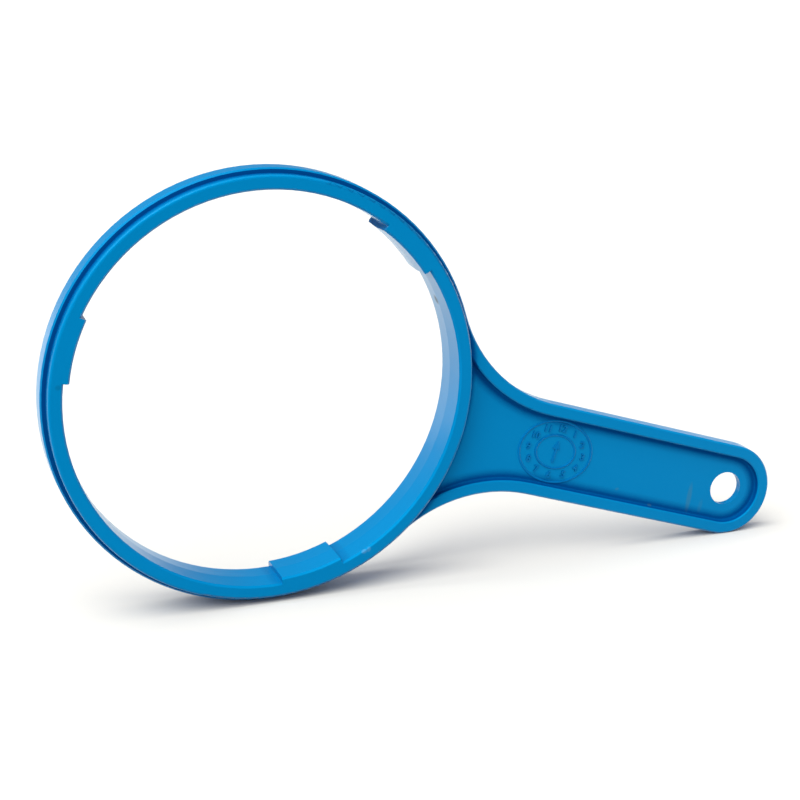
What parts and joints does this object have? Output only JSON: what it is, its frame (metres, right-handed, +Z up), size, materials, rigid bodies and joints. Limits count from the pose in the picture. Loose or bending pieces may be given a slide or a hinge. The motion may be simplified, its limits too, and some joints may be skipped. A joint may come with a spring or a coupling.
{
  "type": "filter wrench",
  "caption": "One-piece plastic wrench for water filter sumps: a ring with inner lugs and a flat handle with pockets and a hang hole.",
  "frame": {"origin": "bottom centre of the bounding box, on the floor that the wrench stands on", "axes": "+Z up; Y along the ring's axis, with the front face towards -Y; +X to the right as seen from the front, towards the handle, which points 18.1 degrees below it"},
  "size_m": [0.2368, 0.0154, 0.1318],
  "materials": {
    "blue_plastic": "satin blue moulded polypropylene with a fine even texture"
  },
  "bodies": {
    "root": {"wrench": "blue_plastic"}
  },
  "joints": []
}
